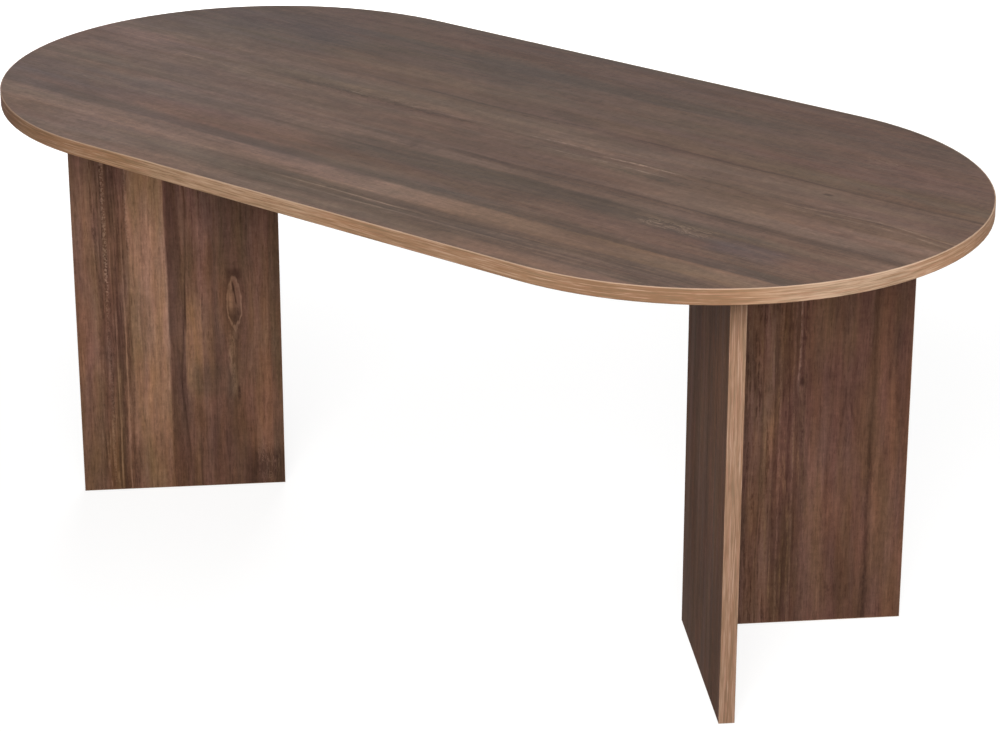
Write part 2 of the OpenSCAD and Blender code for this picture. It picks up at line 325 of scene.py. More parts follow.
def core(s, colour, depth, thickness):
    """Particleboard wherever a board is cut, under the print on its two faces"""
    chips = s.add("TexVoronoi", feature="F1")
    s.feed(chips.inputs["Vector"], s.place)
    chips.inputs["Scale"].default_value = CHIPS
    value = s.split(chips.outputs["Color"])[0]
    chip = s.ramp(value, [(0.0, CHIP_DARK), (0.55, CHIP_MIDDLE), (1.0, CHIP_LIGHT)])
    middle = s.math("ABSOLUTE", s.minus(depth, thickness / 2))
    inside = s.math("LESS_THAN", middle, thickness / 2 - LAMINATE)
    return s.mix(inside, colour, chip)


# Tints of the top's print
TOP_BASE = screen(100, 77, 64)
TOP_DARK = screen(69, 50, 39)
TOP_GREY = screen(80, 66, 56)
TOP_OLIVE = screen(97, 80, 63)
TOP_RED = screen(106, 77, 66)
TOP_TAN = screen(118, 93, 77)
TOP_PALE = screen(134, 108, 94)
TOP_LIGHT = screen(164, 140, 120)
TOP_SMOKE = screen(84, 71, 70)
# Painted reflection: the pale haze on the top towards its left end
TOP_PAINTED_HAZE = screen(122, 103, 98)
TOP_SAND = screen(134, 106, 86)


def top_bands(wood):
    """Broad bands of the top's print, most of them in turn from the rear edge to the front one"""
    wood.patch(TOP_RED, 0.4, low=0.345, high=0.425, soft=0.03, start=-0.60, end=0.60, fade=0.2)
    wood.patch(TOP_SMOKE, 0.3, low=0.430, high=0.460, soft=0.02, start=-0.60, end=0.60, fade=0.2)
    wood.patch(TOP_GREY, 0.4, low=0.235, high=0.320, soft=0.03, start=-0.60, end=0.00, fade=0.2)
    wood.patch(TOP_GREY, 0.7, low=0.297, high=0.322, soft=0.014, start=-0.40, end=0.30, fade=0.15)
    wood.patch(TOP_RED, 0.5, low=0.190, high=0.280, soft=0.03, start=0.10, end=0.85, fade=0.15)
    wood.patch(TOP_SMOKE, 0.5, low=0.180, high=0.310, soft=0.05, start=-0.85, end=-0.55, fade=0.15)
    wood.patch(TOP_OLIVE, 0.5, low=0.135, high=0.165, soft=0.02, start=0.20, end=0.90, fade=0.2)
    wood.patch(TOP_TAN, 0.5, low=0.045, high=0.105, soft=0.02, start=-0.80, end=0.60, fade=0.3)
    wood.patch(TOP_PALE, 0.2, low=-0.030, high=0.080, soft=0.03, start=-0.95, end=0.30, fade=0.2)
    wood.patch(TOP_RED, 0.4, low=-0.085, high=-0.030, soft=0.015, start=-0.60, end=0.90, fade=0.3)
    wood.patch(TOP_PALE, 0.4, low=-0.082, high=-0.035, soft=0.015, start=0.45, end=0.90, fade=0.2)
    wood.patch(TOP_GREY, 0.5, low=-0.113, high=-0.098, soft=0.008, start=-0.85, end=-0.38, fade=0.05)
    wood.patch(TOP_DARK, 0.35, low=-0.113, high=-0.100, soft=0.008, start=0.05, end=0.90, fade=0.2)
    wood.patch(TOP_PALE, 0.3, low=-0.145, high=-0.120, soft=0.010, start=-0.88, end=0.90, fade=0.1)
    wood.patch(TOP_GREY, 0.9, low=-0.200, high=-0.148, soft=0.015, start=-0.05, end=0.65, fade=0.15)
    wood.patch(TOP_SMOKE, 0.6, low=-0.230, high=-0.150, soft=0.03, start=-0.86, end=-0.60, fade=0.12)
    wood.patch(TOP_RED, 0.4, low=-0.250, high=-0.205, soft=0.015, start=-0.60, end=0.90, fade=0.2)
    wood.patch(TOP_DARK, 0.2, low=-0.230, high=-0.110, soft=0.03, start=0.20, end=0.80, fade=0.15)
    wood.patch(TOP_GREY, 0.8, low=-0.284, high=-0.264, soft=0.010, start=-0.90, end=0.90, fade=0.1)
    wood.patch(TOP_PALE, 0.6, low=-0.335, high=-0.294, soft=0.010, start=-0.90, end=0.05, fade=0.2)
    wood.patch(TOP_SAND, 0.5, low=-0.335, high=-0.294, soft=0.008, start=0.15, end=0.90, fade=0.2)
    wood.patch(TOP_DARK, 0.15, low=-0.250, high=-0.150, soft=0.02, start=-0.10, end=0.50, fade=0.10)
    wood.patch(TOP_PALE, 0.4, low=-0.330, high=-0.300, soft=0.010, start=-0.75, end=-0.55, fade=0.1)
    wood.patch(TOP_GREY, 0.6, low=-0.405, high=-0.352, soft=0.010, start=-0.30, end=0.90, fade=0.3)
    wood.patch(TOP_PALE, 0.3, low=-0.445, high=-0.412, soft=0.010, start=-0.70, end=0.60, fade=0.2)
    wood.patch(TOP_PALE, 0.4, low=-0.400, high=-0.340, soft=0.030, start=-0.70, end=-0.30, fade=0.2)
    wood.patch(TOP_SMOKE, 0.6, low=-0.220, high=-0.180, soft=0.02, start=0.64, end=0.71, fade=0.05)
    wood.patch(TOP_GREY, 0.6, low=-0.030, high=-0.012, soft=0.010, start=-0.01, end=0.02, fade=0.03)


def top_streaks(wood):
    """Thin dark and light lines of the top's print"""
    wood.threads(TOP_DARK, TOP_PALE, 0.50, low=-0.402, high=-0.356, soft=0.006,
                 start=-0.10, end=0.80, fade=0.25)
    wood.threads(TOP_DARK, TOP_PALE, 0.35, low=-0.020, high=0.045, soft=0.012,
                 start=-0.40, end=0.90, fade=0.20)
    wood.threads(TOP_DARK, TOP_PALE, 0.30, low=-0.250, high=-0.225, soft=0.012,
                 start=0.30, end=0.90, fade=0.15)
    wood.threads(TOP_DARK, TOP_PALE, 0.25, low=-0.118, high=-0.085, soft=0.010,
                 start=0.10, end=0.90, fade=0.20)
    wood.patch(TOP_DARK, 0.20, low=0.088, high=0.117, soft=0.012, start=-0.20, end=0.45, fade=0.15)
    wood.line(TOP_DARK, 0.85, at=0.120, width=0.007, start=-0.27, end=0.88, fade=0.15, whole=True)
    wood.line(TOP_DARK, 0.40, at=0.110, width=0.006, start=0.05, end=0.55, fade=0.15, bow=0.004)
    wood.line(TOP_DARK, 0.90, at=0.026, width=0.013, start=-0.38, end=-0.05, fade=0.06)
    wood.line(TOP_DARK, 0.60, at=0.024, width=0.008, start=-0.15, end=0.22, fade=0.10, bow=0.006, whole=True)
    wood.line(TOP_GREY, 0.70, at=-0.016, width=0.014, start=0.32, end=0.40, fade=0.06)
    wood.line(TOP_DARK, 0.45, at=0.024, width=0.005, start=0.44, end=0.66, fade=0.06, bow=-0.012, whole=True)
    wood.line(TOP_DARK, 0.45, at=0.006, width=0.005, start=0.58, end=0.90, fade=0.06, bow=0.014, whole=True)
    wood.line(TOP_DARK, 0.45, at=-0.167, width=0.005, start=-0.30, end=0.02, fade=0.08, whole=True)
    wood.line(TOP_DARK, 0.50, at=-0.104, width=0.006, start=-0.10, end=0.90, fade=0.15, bow=0.006, whole=True)
    wood.line(TOP_DARK, 0.45, at=-0.276, width=0.006, start=-0.80, end=0.90, fade=0.20, whole=True)
    wood.line(TOP_DARK, 0.55, at=-0.379, width=0.004, start=0.10, end=0.68, fade=0.15, whole=True)
    wood.line(TOP_DARK, 0.35, at=-0.360, width=0.004, start=-0.02, end=0.60, fade=0.10, whole=True)
    wood.line(TOP_DARK, 0.60, at=-0.110, width=0.020, start=-0.387, end=-0.379, fade=0.006)
    wood.line(TOP_DARK, 0.50, at=-0.128, width=0.018, start=-0.028, end=-0.018, fade=0.008)
    wood.line(TOP_LIGHT, 0.90, at=0.021, width=0.0035, start=0.27, end=0.385, fade=0.03)
    wood.line(TOP_LIGHT, 0.50, at=-0.002, width=0.0030, start=0.18, end=0.36, fade=0.05, bow=0.003)
    wood.line(TOP_LIGHT, 0.50, at=0.034, width=0.0030, start=0.12, end=0.21, fade=0.04, bow=0.003)
    wood.line(TOP_LIGHT, 0.35, at=0.007, width=0.0035, start=-0.69, end=-0.53, fade=0.04, bow=0.003)
    wood.line(TOP_LIGHT, 0.40, at=0.012, width=0.0030, start=0.62, end=0.90, fade=0.04, bow=0.014)
    wood.line(TOP_LIGHT, 0.30, at=-0.004, width=0.0030, start=0.64, end=0.90, fade=0.04, bow=0.012)
    wood.line(TOP_LIGHT, 0.45, at=-0.366, width=0.0030, start=-0.08, end=0.14, fade=0.06, whole=True)
    wood.line(TOP_LIGHT, 0.30, at=-0.385, width=0.0030, start=0.02, end=0.45, fade=0.10, whole=True)
    wood.line(TOP_LIGHT, 0.50, at=0.030, width=0.0060, start=-0.280, end=-0.260, fade=0.015)
    wood.line(TOP_LIGHT, 0.50, at=0.032, width=0.0050, start=-0.165, end=-0.148, fade=0.015)


def top_walnut():
    """The top's print, with the grain along its length. Places are measured from the middle of the top."""
    s = Shader("walnut_print_top")
    x, y, z = s.split(s.place)
    wood = Print(s, along=x, across=y, seed=3.4, base=TOP_BASE, wander=0.018, wave=0.011)
    comma = wood.round_knot(at=0.088, place=0.628, width=0.016, length=0.026)[0]
    wood.tone(TOP_GREY, TOP_TAN, 0.40, along_scale=0.8, across_scale=9, offset=21)
    wood.tone(TOP_OLIVE, TOP_RED, 0.45, along_scale=1.6, across_scale=22, offset=22)
    top_bands(wood)
    top_streaks(wood)

    # Figured spots and a small knot
    wood.curls(TOP_LIGHT, 0.40, low=-0.186, high=-0.166, start=0.490, end=0.575)
    wood.curls(TOP_LIGHT, 0.20, low=0.240, high=0.285, start=0.595, end=0.630)
    wood.curls(TOP_DARK, 0.80, low=0.016, high=0.038, start=-0.34, end=-0.10)
    wood.paint(TOP_DARK, s.step(comma, 1.0, 0.3), 0.85)

    # Painted light: the top is painted darker towards the rear edge, away from the lamps, and lighter towards
    # the front left
    wood.colour = s.shade(wood.colour, s.step(y, 0.52, 0.00, 0.78, 1.08))
    wood.colour = s.shade(wood.colour, s.step(s.plus(y, s.times(x, 0.35)), -0.15, -0.60, 1.0, 1.17))

    # Painted reflection: a little lighter towards the left end, with a pale painted haze there
    wood.colour = s.shade(wood.colour, s.step(x, 0.40, -0.75, 0.97, 1.01))
    wood.patch(TOP_PAINTED_HAZE, 0.35, low=-0.45, high=0.08, soft=0.15, start=-0.95, end=-0.55, fade=0.35)

    wood.drift(red=0.05, blue=0.06, along_scale=2.5, across_scale=14, offset=23)
    wood.grain(smoke=0.11, cloud=0.15, streaks=0.08, fibre=0.09, speckle=0.12, ripple=0.07, pores=0.12)
    colour = core(s, wood.colour, s.minus(z, BOARD_TOP), TOP_HEIGHT - BOARD_TOP)
    return wood.laminate(colour, smooth=0.50, rough=0.56, shine=0.12)


# Tints of the legs' print
LEG_BASE = screen(100, 71, 57)
LEG_DARK = screen(58, 39, 31)
LEG_UMBER = screen(82, 57, 46)
LEG_OLIVE = screen(84, 64, 51)
LEG_RED = screen(104, 73, 61)
LEG_BROWN = screen(118, 86, 70)
LEG_TAN = screen(140, 106, 86)
LEG_HONEY = screen(144, 110, 82)
LEG_LIGHT = screen(170, 136, 113)
LEG_AMBER = screen(124, 92, 66)
LEG_WINE = screen(78, 52, 38)
LEG_EARTH = screen(84, 59, 42)
LEG_MAUVE = screen(116, 85, 77)


def front_left_figure(wood):
    """Places across are measured from the board's free end, and places along from the floor"""
    s = wood.s
    eye, side, ahead = wood.round_knot(at=0.272, place=0.345, width=0.025, length=0.094)

    # Broad bands
    wood.patch(LEG_BROWN, 0.4, low=0.004, high=0.036, soft=0.008)
    wood.patch(LEG_UMBER, 0.5, low=0.040, high=0.090, soft=0.006)
    wood.patch(LEG_TAN, 0.6, low=0.100, high=0.156, soft=(0.016, 0.002))
    wood.patch(LEG_HONEY, 0.6, low=0.100, high=0.156, soft=(0.016, 0.002), start=0.44, end=0.80, fade=0.10)
    wood.patch(LEG_TAN, 0.8, low=0.130, high=0.158, soft=(0.02, 0.001), start=0.28, end=0.44, fade=0.10)
    wood.patch(LEG_TAN, 0.3, low=0.112, high=0.150, soft=(0.02, 0.004), start=0.05, end=0.16, fade=0.08)
    wood.patch(LEG_EARTH, 0.4, low=-0.020, high=0.100, soft=(0.01, 0.04), start=-0.1, end=0.08, fade=0.16)
    wood.patch(LEG_EARTH, 0.7, low=-0.020, high=0.380, soft=0.01, start=-0.1, end=0.05, fade=0.08)
    wood.patch(LEG_AMBER, 0.3, low=0.096, high=0.157, soft=(0.01, 0.001), start=-0.1, end=0.22, fade=0.20)
    wood.patch(LEG_UMBER, 0.9, low=0.161, high=0.182, soft=(0.002, 0.006))
    wood.patch(LEG_BROWN, 0.4, low=0.188, high=0.225, soft=0.008)
    wood.patch(LEG_AMBER, 0.8, low=0.188, high=0.212, soft=0.006, start=0.22, end=0.33, fade=0.06)
    wood.patch(LEG_BROWN, 0.6, low=0.192, high=0.225, soft=0.006, start=0.46, end=0.66, fade=0.06)
    wood.patch(LEG_MAUVE, 0.8, low=0.188, high=0.262, soft=0.012, start=0.50, end=0.80, fade=0.08)
    wood.patch(LEG_UMBER, 0.35, low=0.230, high=0.262, soft=0.015)
    wood.patch(LEG_OLIVE, 0.9, low=0.255, high=0.300, soft=0.012, start=0.42, end=0.80, fade=0.06)
    wood.patch(LEG_BROWN, 0.3, low=0.300, high=0.330, soft=(0.008, 0.003), start=0.32, end=0.46, fade=0.08)
    wood.patch(LEG_TAN, 0.3, low=0.302, high=0.328, soft=(0.008, 0.003), start=0.27, end=0.29, fade=0.03)
    wood.patch(LEG_UMBER, 0.4, low=0.240, high=0.360, soft=0.010, start=-0.1, end=0.24, fade=0.10)
    wood.patch(LEG_AMBER, 0.2, low=0.285, high=0.330, soft=(0.012, 0.003), start=0.07, end=0.22, fade=0.05)
    wood.patch(LEG_OLIVE, 0.7, low=0.335, high=0.360, soft=0.003)
    wood.patch(LEG_OLIVE, 0.9, low=0.205, high=0.262, soft=0.015, start=0.19, end=0.22, fade=0.03)
    wood.patch(LEG_UMBER, 0.7, low=0.180, high=0.290, soft=0.02, start=0.00, end=0.10, fade=0.08)
    wood.patch(LEG_DARK, 0.8, low=0.295, high=0.360, soft=0.02, start=0.00, end=0.05, fade=0.04)
    wood.curls(LEG_TAN, 0.25, low=0.312, high=0.338, start=0.030, end=0.060)

    # Fine lines and beads
    wood.threads(LEG_DARK, LEG_TAN, 0.55, low=0.036, high=0.096, soft=0.008)
    wood.threads(LEG_DARK, LEG_LIGHT, 0.25, low=0.100, high=0.158, soft=0.002)
    wood.threads(LEG_DARK, LEG_BROWN, 0.30, low=0.160, high=0.220, soft=0.004)
    wood.threads(LEG_DARK, LEG_BROWN, 0.25, low=0.004, high=0.036, soft=0.004)
    for place, depth in ((0.044, 0.30), (0.063, 0.50), (0.074, 0.50), (0.090, 0.30)):
        wood.line(LEG_DARK, depth, at=place, width=0.003, start=0.0, end=0.75, bow=0.003, whole=True)
    wood.line(LEG_DARK, 0.8, at=0.072, width=0.005, start=0.0, end=0.36, fade=0.10, whole=True)
    wood.beads(LEG_LIGHT, 0.35, at=0.055, width=0.006, start=0.40, end=0.75, fade=0.10)
    wood.beads(LEG_LIGHT, 0.20, at=0.094, width=0.004, start=0.46, end=0.58, fade=0.05)
    wood.beads(LEG_LIGHT, 0.12, at=0.054, width=0.004, start=0.05, end=0.40, fade=0.10)
    wood.line(LEG_TAN, 0.40, at=0.067, width=0.0025, start=0.05, end=0.30, fade=0.10, whole=True)
    wood.line(LEG_TAN, 0.60, at=0.083, width=0.0025, start=0.0, end=0.40, fade=0.15, whole=True)
    wood.line(LEG_DARK, 0.9, at=0.186, width=0.004, start=0.05, end=0.36, fade=0.03, bow=-0.010, whole=True)
    wood.line(LEG_DARK, 0.8, at=0.186, width=0.003, start=0.32, end=0.72, fade=0.05, bow=0.006, whole=True)
    wood.line(LEG_DARK, 0.8, at=0.206, width=0.004, start=0.0, end=0.13, fade=0.04, whole=True)
    wood.line(LEG_DARK, 0.4, at=0.216, width=0.003, start=0.30, end=0.60, fade=0.10)
    wood.line(LEG_DARK, 0.4, at=0.296, width=0.004, start=0.42, end=0.60, fade=0.05)

    # The eye: dark grain and a cap round it, a thin tan rim, a slanted crack, a dark core, and the tail below
    wood.line(LEG_TAN, 0.6, at=0.270, width=0.008, start=0.19, end=0.29, fade=0.02, bow=-0.004)
    wood.line(LEG_DARK, 0.9, at=0.276, width=0.006, start=0.172, end=0.186, fade=0.01)
    wood.paint(LEG_DARK, s.step(eye, 1.8, 1.05), 0.35)
    wood.paint(LEG_DARK, s.times(s.window(side, -0.3, 0.5, 1.0), s.window(ahead, 1.10, 1.30, 0.20)), 0.55)
    wood.paint(LEG_TAN, s.step(eye, 1.08, 0.98), 0.50)
    inside = s.step(eye, 0.92, 0.80)
    wood.paint(LEG_BASE, inside, 0.75)
    wood.paint(LEG_TAN, s.times(s.window(side, -0.55, -0.35, 0.25), s.window(ahead, -0.20, 0.60, 0.3)), 0.50)
    slant = s.plus(side, s.times(ahead, 0.45))
    wood.paint(LEG_DARK, s.times(s.window(slant, 0.22, 0.28, 0.16), s.window(ahead, 0.10, 0.80, 0.2)), 0.85)
    wood.paint(LEG_DARK, s.times(inside, s.step(ahead, 0.0, -0.40)), 0.60)

    # Painted light: paler just below the top, making up for the top's shadow on the board
    wood.colour = s.shade(wood.colour, s.step(wood.along, 0.40, 0.64, 1.0, 1.12))


def rear_right_figure(wood):
    """Places across are measured from the corner of the V, and places along from the floor"""
    s = wood.s
    knot = wood.round_knot(at=0.180, place=0.423, width=0.008, length=0.018)[0]

    # Broad bands
    wood.patch(LEG_RED, 0.5, low=0.190, high=0.285, soft=0.01)
    wood.patch(LEG_BROWN, 0.5, low=0.193, high=0.215, soft=0.01, start=0.05, end=0.28, fade=0.10)
    wood.patch(LEG_BROWN, 0.4, low=0.302, high=0.326, soft=0.008, start=0.12, end=0.50, fade=0.12)
    wood.patch(LEG_UMBER, 0.6, low=0.332, high=0.360, soft=0.010, start=0.30, end=0.80, fade=0.04)
    wood.patch(LEG_DARK, 0.3, low=0.090, high=0.150, soft=0.02, start=0.00, end=0.10, fade=0.08)
    wood.patch(LEG_BROWN, 0.6, low=0.000, high=0.176, soft=0.02)
    wood.patch(LEG_AMBER, 0.6, low=0.140, high=0.260, soft=0.02, start=0.52, end=0.80, fade=0.10)
    wood.patch(LEG_TAN, 0.2, low=0.020, high=0.120, soft=0.04, start=-0.1, end=0.24, fade=0.12)
    wood.patch(LEG_TAN, 0.2, low=0.120, high=0.176, soft=0.02, start=0.40, end=0.75, fade=0.12)
    wood.patch(LEG_UMBER, 0.4, low=0.265, high=0.360, soft=0.03)
    wood.patch(LEG_TAN, 0.45, low=0.084, high=0.132, soft=0.010, start=-0.1, end=0.52, fade=0.15)
    wood.patch(LEG_UMBER, 0.6, low=0.140, high=0.178, soft=0.008, start=-0.1, end=0.80, fade=0.10)
    wood.patch(LEG_UMBER, 0.5, low=0.245, high=0.300, soft=0.015, start=-0.1, end=0.06, fade=0.06)

    # Fine lines, and the small knot
    wood.threads(LEG_UMBER, LEG_HONEY, 0.75, low=0.000, high=0.184, soft=0.008)
    for place, depth in ((0.088, 0.3), (0.114, 0.4), (0.134, 0.3), (0.157, 0.4)):
        wood.line(LEG_DARK, depth, at=place, width=0.003, start=0.0, end=0.75, bow=0.003, whole=True)
    for place, depth in ((0.074, 0.4), (0.101, 0.5), (0.124, 0.5), (0.148, 0.5), (0.169, 0.5)):
        wood.line(LEG_TAN, depth, at=place, width=0.003, start=0.0, end=0.75, bow=-0.002)
    wood.line(LEG_LIGHT, 0.5, at=0.176, width=0.003, start=0.43, end=0.62, fade=0.04)
    wood.line(LEG_DARK, 0.5, at=0.184, width=0.005, start=0.19, end=0.62, fade=0.05)
    wood.line(LEG_DARK, 0.35, at=0.243, width=0.004, start=0.33, end=0.46, fade=0.04, bow=0.008)
    wood.line(LEG_DARK, 0.35, at=0.268, width=0.004, start=0.33, end=0.46, fade=0.04, bow=-0.010)
    wood.line(LEG_DARK, 0.35, at=0.254, width=0.004, start=0.26, end=0.34, fade=0.04)
    wood.line(LEG_DARK, 0.6, at=0.293, width=0.009, start=0.0, end=0.30, fade=0.10)
    wood.line(LEG_DARK, 0.5, at=0.295, width=0.006, start=0.0, end=0.55, fade=0.10, whole=True)
    wood.line(LEG_DARK, 0.6, at=0.230, width=0.005, start=0.052, end=0.060, fade=0.015, bow=0.004)
    wood.line(LEG_DARK, 0.6, at=0.263, width=0.004, start=0.046, end=0.058, fade=0.015)
    wood.paint(LEG_DARK, s.step(knot, 1.3, 0.5), 0.6)


def plain_figure(wood):
    """Bands of a board with no knots"""
    wood.patch(LEG_UMBER, 0.4, low=0.020, high=0.110, soft=0.02)
    wood.patch(LEG_BROWN, 0.4, low=0.133, high=0.167, soft=0.02)
    wood.patch(LEG_BROWN, 0.4, low=0.287, high=0.320, soft=0.02)
    wood.patch(LEG_WINE, 0.6, low=-0.100, high=0.460, soft=0.02, start=-0.10, end=0.12, fade=0.25)
    wood.threads(LEG_DARK, LEG_BROWN, 0.35, low=0.170, high=0.280, soft=0.02)
    for place in (0.060, 0.192, 0.262, 0.335):
        wood.line(LEG_DARK, 0.5, at=place, width=0.005, start=0.0, end=0.75, bow=0.004)


def leg_walnut(name, side, board, seed, figure, tint_and_painted_light=(1.0, 1.0, 1.0), from_free_end=False):
    """The upright print of one leg board, which stands at 45 degrees to the length of the table. figure
    paints its bands and knots, and the colour factor makes its red, green and blue lighter or darker: partly
    the board's own tint, and on the front left board painted light, on the front right board painted shade."""
    s = Shader("walnut_print_" + name)
    slant = math.sqrt(0.5)
    across = s.minus(s.dot(s.place, (side * slant, board * slant, 0)), CORNER_X * slant)
    depth = s.minus(s.dot(s.place, (side * slant, -board * slant, 0)), CORNER_X * slant)
    if from_free_end:
        across = s.minus(LEG_WIDTH, across)
    z = s.split(s.place)[2]
    wood = Print(s, along=z, across=across, seed=seed, base=LEG_BASE, wander=0.010, wave=0.006)
    wood.tone(LEG_UMBER, LEG_BROWN, 0.3, along_scale=0.9, across_scale=22, offset=21)
    wood.tone(LEG_OLIVE, LEG_RED, 0.4, along_scale=3.0, across_scale=34, offset=22)
    figure(wood)
    wood.drift(red=0.06, blue=0.11, along_scale=6, across_scale=36, offset=23)
    wood.grain(smoke=0.08, cloud=0.11, streaks=0.09, fibre=0.14, speckle=0.10, ripple=0.06, pores=0.17)
    colour = s.mix(1.0, wood.colour, (*tint_and_painted_light, 1.0), blend="MULTIPLY")
    colour = core(s, colour, depth, LEG_THICKNESS)
    return wood.laminate(colour, smooth=0.64, rough=0.72, shine=0.05)


# Tints of the edge bands' print
OAK_BASE = screen(159, 124, 97)
OAK_UMBER = screen(132, 99, 74)
# Painted shade on the left end of the top's band
OAK_PAINTED_SHADE = screen(126, 86, 62)
OAK_WARM = screen(158, 117, 84)
OAK_BROWN = screen(146, 111, 84)
OAK_GREY = screen(120, 99, 76)
OAK_PALE = screen(172, 141, 114)
# A painted highlight on the right end of the top's band
OAK_SHEEN = screen(168, 141, 118)
OAK_LIGHT = screen(196, 164, 140)
OAK_PINK = screen(170, 122, 100)
OAK_ARRIS_HIGHLIGHT = screen(206, 178, 156)
ARRIS_START, ARRIS_END = 0.0016, 0.0006    # of the painted highlight on the rounded corner, below the upper face


def band_stretches_and_painted_light(s, colour, x, y):
    """Browner and paler stretches round the top along its band: some are the print, others painted light and
    shade
    """
    front = s.step(y, 0.05, -0.05)
    # Along the front: a warmer stretch, and a brown and an umber stretch of the print; painted shade darkens
    # the left end, which turns from the lamps, and painted light brightens the pale stretch left of the
    # middle, where the key light falls off
    for tint, amount, low, high, soft in ((OAK_WARM, 0.5, -0.95, 0.10, 0.15),
                                          (OAK_PAINTED_SHADE, 1.0, -0.95, -0.70, 0.12),
                                          (OAK_PAINTED_SHADE, 0.25, -0.95, -0.48, 0.10),
                                          (OAK_PALE, 0.75, -0.26, 0.02, 0.10),
                                          (OAK_BROWN, 0.6, 0.30, 0.74, (0.25, 0.06)),
                                          (OAK_UMBER, 0.8, 0.57, 0.72, 0.07)):
        colour = s.mix(s.times(s.times(front, s.window(x, low, high, soft)), amount), colour, tint)
    # At the right end: a painted highlight where the band turns towards the side lamp, and painted shade on
    # the rear right
    right = s.step(x, 0.70, 0.80)
    for tint, amount, low, high, soft in ((OAK_SHEEN, 0.9, -0.24, -0.13, 0.09),
                                          (OAK_UMBER, 0.7, 0.12, 0.30, 0.06)):
        colour = s.mix(s.times(s.times(right, s.window(y, low, high, soft)), amount), colour, tint)
    return colour


def oak_band(name, upright=False, round_top=False, tint_and_painted_light=(1.0, 1.0, 1.0)):
    """Light oak print of an edge band, with fine broken lines along its length. round_top marks the band that
    runs round the table top."""
    s = Shader("oak_print_" + name)
    x, y, z = s.split(s.place)

    def along(fine, coarse, offset, detail):
        level, height = (fine, coarse) if upright else (coarse, fine)
        vector = s.join(s.times(x, level), s.times(y, level), s.plus(s.times(z, height), offset))
        return s.noise(vector, detail=detail, roughness=0.65)

    bands = along(fine=110, coarse=2.5, offset=0.0, detail=2)
    lines = along(fine=430, coarse=14, offset=5.3, detail=3)
    ticks = s.step(along(fine=600, coarse=20, offset=9.7, detail=2), 0.50, 0.60)
    flecks = s.step(along(fine=300, coarse=18, offset=14.1, detail=2), 0.52, 0.68)
    colour = s.ramp(bands, [(0.28, OAK_BROWN), (0.5, OAK_BASE), (0.72, OAK_PALE)])
    if round_top:
        colour = band_stretches_and_painted_light(s, colour, x, y)
    colour = s.mix(s.step(lines, 0.50, 0.38, 0.0, 0.60), colour, OAK_GREY)
    colour = s.mix(s.step(lines, 0.52, 0.66, 0.0, 0.50), colour, OAK_LIGHT)
    colour = s.mix(s.times(flecks, 0.35), colour, OAK_PINK)
    colour = s.mix(s.times(ticks, 0.50), colour, OAK_UMBER)
    if round_top:
        # Painted highlight: the rounded upper corner of the band is painted paler, where it catches the light
        painted_highlight = s.step(z, TOP_HEIGHT - ARRIS_START, TOP_HEIGHT - ARRIS_END, 0.0, 0.50)
        colour = s.mix(painted_highlight, colour, OAK_ARRIS_HIGHLIGHT)
    colour = s.mix(1.0, colour, (*tint_and_painted_light, 1.0), blend="MULTIPLY")
    gloss = s.step(lines, MOST_LOW, MOST_HIGH, 0.68, 0.60)
    return s.surface(colour, gloss, s.bump(lines, OAK_RELIEF), Specular_IOR_Level=0.06)


# Tints of the fittings
STEEL = screen(205, 207, 210)
ZINC = screen(186, 188, 190)
CAP_BROWN = screen(86, 62, 49)
NYLON_BROWN = screen(58, 47, 41)
BEECH_DARK = screen(196, 160, 116)
BEECH_LIGHT = screen(222, 190, 146)
BEECH_FLECK = screen(140, 98, 62)


def metal(name, colour, rough, scale):
    """Cast or plated metal, a little cloudy. scale is in clouds to a metre."""
    s = Shader(name)
    cloud = s.noise(s.shade(s.place, scale), detail=4, roughness=0.6)
    grit = s.noise(s.shade(s.place, scale * 12), detail=2)
    colour = s.shade(colour, s.step(cloud, MOST_LOW, MOST_HIGH, 0.86, 1.06))
    gloss = s.step(cloud, MOST_LOW, MOST_HIGH, rough, rough + 0.12)
    return s.surface(colour, gloss, s.bump(grit, METAL_RELIEF), Metallic=1.0)


def plastic(name, colour, rough):
    """Moulded plastic with a fine spark-eroded texture"""
    s = Shader(name)
    cloud = s.noise(s.shade(s.place, 90), detail=3)
    grit = s.noise(s.shade(s.place, 3500), detail=2)
    colour = s.shade(colour, s.step(cloud, MOST_LOW, MOST_HIGH, 0.9, 1.1))
    gloss = s.step(grit, MOST_LOW, MOST_HIGH, rough, rough + 0.1)
    return s.surface(colour, gloss, s.bump(grit, PLASTIC_RELIEF), Specular_IOR_Level=0.4)


def beech():
    """Plain beech with its short brown flecks"""
    s = Shader("beech_dowel")
    cloud = s.noise(s.shade(s.place, 120), detail=3)
    fleck = s.step(s.noise(s.shade(s.place, 1400), detail=1), 0.62, 0.72)
    colour = s.ramp(cloud, [(0.3, BEECH_DARK), (0.7, BEECH_LIGHT)])
    colour = s.mix(s.times(fleck, 0.5), colour, BEECH_FLECK)
    return s.surface(colour, 0.6, s.bump(fleck, BEECH_RELIEF))


def cover(node, material):
    """Gives one node its material"""
    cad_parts[node].material_slots[0].material = material


